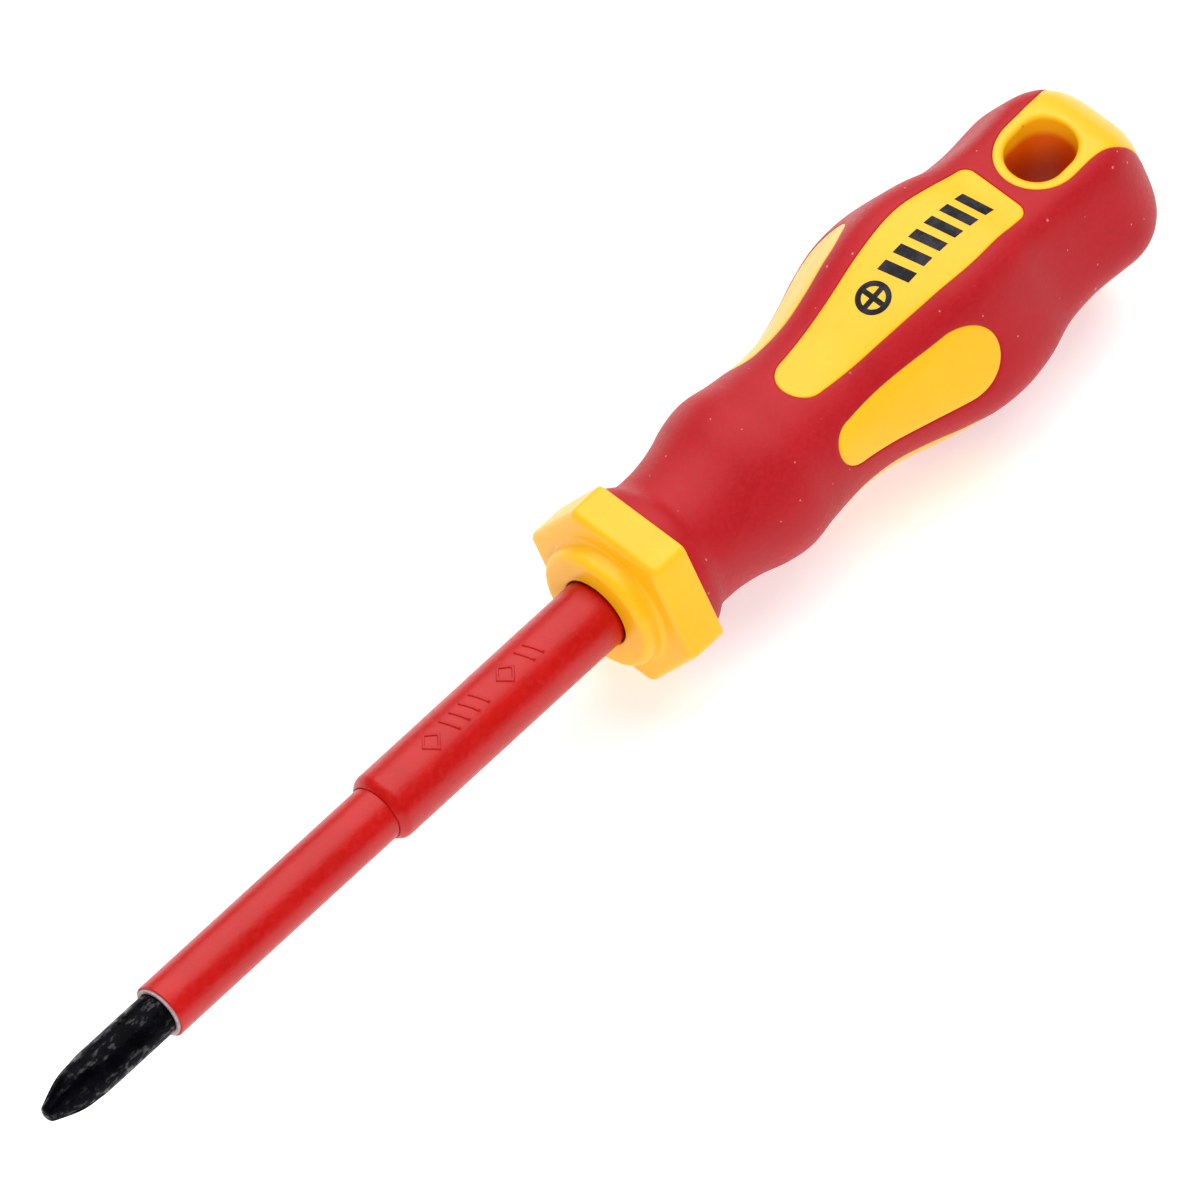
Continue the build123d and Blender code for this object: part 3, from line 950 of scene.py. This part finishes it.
class Surface:
    """A principled material whose patterns come from nodes, with the steps they are made of."""

    def __init__(self, name):
        self.material = bpy.data.materials.new(name)
        self.material.use_nodes = True
        self.tree = self.material.node_tree
        self.shader = self.tree.nodes["Principled BSDF"]
        self.place = self.add("ShaderNodeTexCoord").outputs["Object"]

    def add(self, kind, **values):
        node = self.tree.nodes.new(kind)
        for key, value in values.items():
            setattr(node, key, value)
        return node

    def plug(self, value, socket):
        if isinstance(value, bpy.types.NodeSocket):
            self.tree.links.new(value, socket)
        else:
            socket.default_value = value

    def stretched(self, scale):
        """Object coordinates with a scale of their own along each axis."""
        mapping = self.add("ShaderNodeMapping")
        self.plug(self.place, mapping.inputs["Vector"])
        mapping.inputs["Scale"].default_value = scale
        return mapping.outputs["Vector"]

    def noise(self, scale, detail=3.0, roughness=0.55, place=None):
        node = self.add("ShaderNodeTexNoise")
        self.plug(place or self.place, node.inputs["Vector"])
        for key, value in (("Scale", scale), ("Detail", detail), ("Roughness", roughness)):
            node.inputs[key].default_value = value
        return node.outputs["Fac"]

    def between(self, value, low, high, out_low=0.0, out_high=1.0):
        node = self.add("ShaderNodeMapRange", interpolation_type="SMOOTHSTEP")
        settings = (("Value", value), ("From Min", low), ("From Max", high))
        for key, setting in settings + (("To Min", out_low), ("To Max", out_high)):
            self.plug(setting, node.inputs[key])
        return node.outputs["Result"]

    def math(self, operation, one, two=0.0):
        node = self.add("ShaderNodeMath", operation=operation)
        self.plug(one, node.inputs[0])
        self.plug(two, node.inputs[1])
        return node.outputs[0]

    def mix(self, share, one, two):
        node = self.add("ShaderNodeMix", data_type="RGBA")
        self.plug(share, node.inputs["Factor"])
        for value, socket in ((one, node.inputs[6]), (two, node.inputs[7])):
            self.plug(value if isinstance(value, bpy.types.NodeSocket) else (*value, 1.0), socket)
        return node.outputs[2]

    def specks(self, scale, size, share, place=None):
        """Small round specks: one in some cells of a grid of loose cells."""
        node = self.add("ShaderNodeTexVoronoi")
        self.plug(place or self.place, node.inputs["Vector"])
        node.inputs["Scale"].default_value = scale
        spot = self.between(node.outputs["Distance"], size, size * 0.4)
        pick = self.add("ShaderNodeSeparateColor")
        self.plug(node.outputs["Color"], pick.inputs["Color"])
        chosen = self.math("GREATER_THAN", pick.outputs["Red"], 1 - share)
        return self.math("MULTIPLY", spot, chosen)

    def hole_painted_shade(self):
        """0 outside the hang hole's wall, rising to 1 well inside it: painted shade that turns the wall deep
        orange down in the hole.
        """
        axes = self.add("ShaderNodeSeparateXYZ")
        self.plug(self.place, axes.inputs["Vector"])
        along = self.math("ABSOLUTE", self.math("SUBTRACT", axes.outputs["X"], HOLE_X * MM))
        beyond = self.math("MAXIMUM", self.math("SUBTRACT", along, (HOLE_LENGTH - HOLE_WIDTH) / 2 * MM))
        across = self.math("POWER", axes.outputs["Y"], 2.0)
        reach = self.math("SQRT", self.math("ADD", self.math("POWER", beyond, 2.0), across))
        near = self.between(reach, (HOLE_WIDTH / 2 + 0.25) * MM, (HOLE_WIDTH / 2 + 0.1) * MM)
        height = self.math("ABSOLUTE", axes.outputs["Z"])
        deep = self.between(height, HOLE_SHADE_START_Z * MM, HOLE_SHADE_FULL_Z * MM)
        return self.math("MULTIPLY", near, deep)

    def bump(self, height, strength, distance, normal=None):
        node = self.add("ShaderNodeBump")
        self.plug(height, node.inputs["Height"])
        node.inputs["Strength"].default_value = strength
        node.inputs["Distance"].default_value = distance * MM
        if normal:
            self.plug(normal, node.inputs["Normal"])
        return node.outputs["Normal"]

    def finish(self, color, roughness, normal, **settings):
        self.plug(color, self.shader.inputs["Base Color"])
        self.plug(roughness, self.shader.inputs["Roughness"])
        self.plug(normal, self.shader.inputs["Normal"])
        for key, value in settings.items():
            self.plug(value, self.shader.inputs[key.replace("_", " ")])
        return self.material


def rubber_red():
    s = Surface("soft_red_rubber")
    broad = s.noise(120, 4)
    fine = s.noise(1700, 3, 0.6)
    color = s.mix(s.between(broad, 0.3, 0.7), (0.385, 0.0040, 0.0080), (0.43, 0.0060, 0.0115))
    color = s.mix(s.between(fine, 0.35, 0.75, 0, 0.35), color, (0.50, 0.012, 0.020))
    dust = s.math("MAXIMUM", s.specks(420, 0.10, 0.16), s.specks(900, 0.14, 0.10))
    color = s.mix(s.math("MULTIPLY", dust, 0.75), color, (0.72, 0.30, 0.30))
    roughness = s.between(fine, 0.3, 0.7, 0.46, 0.58)
    normal = s.bump(s.noise(1100, 4, 0.6), 0.40, 0.12)
    normal = s.bump(dust, 0.3, 0.05, normal)
    return s.finish(color, roughness, normal, Specular_IOR_Level=0.26)


def plastic_yellow():
    s = Surface("moulded_yellow_plastic")
    broad = s.noise(90, 3)
    fine = s.noise(1400, 3, 0.6)
    color = s.mix(s.between(broad, 0.3, 0.7), (0.93, 0.450, 0.005), (0.95, 0.480, 0.008))
    color = s.mix(s.between(fine, 0.4, 0.8, 0, 0.25), color, (0.96, 0.52, 0.022))
    # Painted shade: the hang hole's wall is mixed towards deep orange well down inside the hole.
    color = s.mix(s.hole_painted_shade(), color, (0.76, 0.14, 0.001))
    pits = s.specks(260, 0.07, 0.05)
    color = s.mix(s.math("MULTIPLY", pits, 0.7), color, (0.52, 0.20, 0.01))
    scratch = s.noise(60, 2, 0.4, s.stretched((1.0, 9.0, 9.0)))
    roughness = s.between(scratch, 0.35, 0.65, 0.32, 0.40)
    normal = s.bump(s.noise(800, 3, 0.5), 0.10, 0.08)
    normal = s.bump(pits, -0.5, 0.08, normal)
    return s.finish(color, roughness, normal, Specular_IOR_Level=0.36)


def sleeve_plastic_red():
    s = Surface("extruded_red_plastic")
    broad = s.noise(150, 3)
    fine = s.noise(1300, 4, 0.65)
    color = s.mix(s.between(broad, 0.3, 0.7), (0.44, 0.0028, 0.0014), (0.49, 0.0040, 0.0026))
    color = s.mix(s.between(fine, 0.45, 0.8, 0, 0.4), color, (0.60, 0.012, 0.012))
    specks = s.specks(500, 0.10, 0.05)
    color = s.mix(s.math("MULTIPLY", specks, 0.5), color, (0.80, 0.22, 0.22))
    roughness = s.between(fine, 0.3, 0.7, 0.28, 0.42)
    normal = s.bump(s.noise(1500, 4, 0.65), 0.50, 0.10)
    normal = s.bump(s.noise(260, 2), 0.15, 0.3, normal)
    return s.finish(color, roughness, normal, Specular_IOR_Level=0.34)


def steel_black():
    s = Surface("blackened_steel")
    grain = s.noise(1500, 4, 0.7)
    patches = s.noise(380, 3)
    color = s.mix(s.between(patches, 0.35, 0.7), (0.0015, 0.0015, 0.0022), (0.004, 0.004, 0.006))
    color = s.mix(s.between(grain, 0.6, 0.85, 0, 0.6), color, (0.03, 0.03, 0.045))
    roughness = s.between(patches, 0.3, 0.7, 0.20, 0.36)
    normal = s.bump(s.noise(620, 3), 0.5, 0.16, s.bump(grain, 0.45, 0.08))
    gloss = s.between(s.noise(1300, 3, 0.55, s.stretched((0.55, 1.0, 1.0))), 0.53, 0.66, 0.02, 0.32)
    return s.finish(color, roughness, normal, Specular_IOR_Level=gloss)


def liner_pale():
    s = Surface("pale_liner_plastic")
    fine = s.noise(900, 3)
    color = s.mix(s.between(fine, 0.3, 0.7), (0.36, 0.24, 0.24), (0.50, 0.37, 0.37))
    return s.finish(color, s.between(fine, 0.3, 0.7, 0.35, 0.5), s.bump(fine, 0.2, 0.05))


def core_plastic():
    s = Surface("core_amber_plastic")
    fine = s.noise(700, 3)
    color = s.mix(s.between(fine, 0.3, 0.7), (0.55, 0.27, 0.02), (0.62, 0.33, 0.03))
    return s.finish(color, s.between(fine, 0.3, 0.7, 0.4, 0.55), s.bump(fine, 0.15, 0.05))


def ink_black():
    s = Surface("printed_black_ink")
    grain = s.noise(2400, 4, 0.7)
    patches = s.noise(500, 2)
    color = s.mix(s.between(patches, 0.4, 0.65), (0.006, 0.006, 0.008), (0.022, 0.022, 0.03))
    color = s.mix(s.between(grain, 0.5, 0.75, 0, 0.55), color, (0.07, 0.07, 0.095))
    roughness = s.between(grain, 0.3, 0.7, 0.4, 0.6)
    return s.finish(color, roughness, s.bump(grain, 0.2, 0.03), Specular_IOR_Level=0.15)


def floor_white():
    s = Surface("pale_floor")
    soft = s.noise(6, 2)
    color = s.mix(s.between(soft, 0.3, 0.7), (0.90, 0.90, 0.90), (0.92, 0.92, 0.92))
    roughness = s.between(soft, 0.3, 0.7, 0.8, 0.9)
    glow = {"Emission_Color": (1.0, 1.0, 1.0, 1.0), "Emission_Strength": FLOOR_GLOW}
    return s.finish(color, roughness, s.bump(soft, 0.02, 1.0), **glow)


make_soft_grip(rubber_red())
make_handle_body(plastic_yellow())
make_inner_insulation(liner_pale())
sleeve_material = sleeve_plastic_red()
make_slim_sleeve(sleeve_material)
make_outer_sleeve(sleeve_material)
make_blade(steel_black())
make_label_print(ink_black())
core = bpy.data.objects["tang_core"]
core.data.materials.clear()
core.data.materials.append(core_plastic())


# ---- Stage: floor, lights and camera.

# The stage's sizes are in metres.
FLOOR_HALF = 4.0
FLOOR_GLOW = 0.3          # the floor is lit a little from behind, as on a light table
KEY_DIRECTION = Vector((0.42, 0.33, 0.85)).normalized()
KEY_DISTANCE = 1.3
KEY_SIZE = 1.7
KEY_POWER = 23.0
FILL_DIRECTION = Vector((-0.45, -0.60, 0.66)).normalized()
FILL_DISTANCE = 1.2
FILL_SIZE = 0.5
FILL_POWER = 7.5
WORLD_COLOR = (0.95, 0.97, 1.0, 1.0)
WORLD_STRENGTH = 0.40

# The camera looks at the tool from its label side, from beyond its tip.
VIEW_BACK = 25.0          # degrees the line of sight leans towards the tip
VIEW_TURN = 24.4          # turn about the tool's axis, from +Z towards -Y
VIEW_ROLL = 42.47         # how far the tool's axis climbs across the picture
CAMERA_DISTANCE = 2.588
CAMERA_LENS = 637.5
TIP_RIGHT = -0.06746      # where the tip is in the picture, in metres at its distance
TIP_UP = -0.06281


def make_floor():
    bm = bmesh.new()
    level = cad_box[0][2]
    corners = [(FLOOR_HALF, FLOOR_HALF), (-FLOOR_HALF, FLOOR_HALF)]
    corners += [(-x, -y) for x, y in corners]
    bm.faces.new([bm.verts.new((x, y, level)) for x, y in corners])
    floor = mesh_object("floor", bm, floor_white())


def add_lamp(name, direction, distance, size, power):
    """A square soft light that shines towards the origin."""
    lamp = bpy.data.lights.new(name, "AREA")
    lamp.shape = "SQUARE"
    lamp.size = size
    lamp.energy = power
    light = bpy.data.objects.new(name, lamp)
    light.location = direction * distance
    light.rotation_euler = direction.to_track_quat("Z", "Y").to_euler()
    bpy.context.scene.collection.objects.link(light)
    return light


def make_lights():
    """One broad soft light, a small one from the tip's side, and a pale world around."""
    world = bpy.data.worlds.new("studio")
    world.use_nodes = True
    background = world.node_tree.nodes["Background"]
    background.inputs["Color"].default_value = WORLD_COLOR
    background.inputs["Strength"].default_value = WORLD_STRENGTH
    world.cycles_visibility.glossy = False
    bpy.context.scene.world = world
    add_lamp("key", KEY_DIRECTION, KEY_DISTANCE, KEY_SIZE, KEY_POWER)
    fill = add_lamp("fill", FILL_DIRECTION, FILL_DISTANCE, FILL_SIZE, FILL_POWER)
    fill.visible_glossy = False


def make_camera():
    lean, turn, roll = radians(VIEW_BACK), radians(VIEW_TURN), radians(VIEW_ROLL)
    back = Vector((-sin(lean), -sin(turn) * cos(lean), cos(turn) * cos(lean)))
    axis_seen = (Vector((1, 0, 0)) - back * back.x).normalized()
    beside = back.cross(axis_seen)
    right = axis_seen * cos(roll) - beside * sin(roll)
    up = axis_seen * sin(roll) + beside * cos(roll)
    data = bpy.data.cameras.new("camera")
    data.lens = CAMERA_LENS
    data.sensor_width = 36.0
    data.clip_end = 20.0
    camera = bpy.data.objects.new("camera", data)
    matrix = Matrix((right, up, back)).transposed().to_4x4()
    matrix.translation = back * CAMERA_DISTANCE - right * TIP_RIGHT - up * TIP_UP
    camera.matrix_world = matrix
    bpy.context.scene.collection.objects.link(camera)
    bpy.context.scene.camera = camera


make_floor()
make_lights()
make_camera()
bpy.context.scene.view_settings.view_transform = "Standard"
bpy.context.view_layer.update()
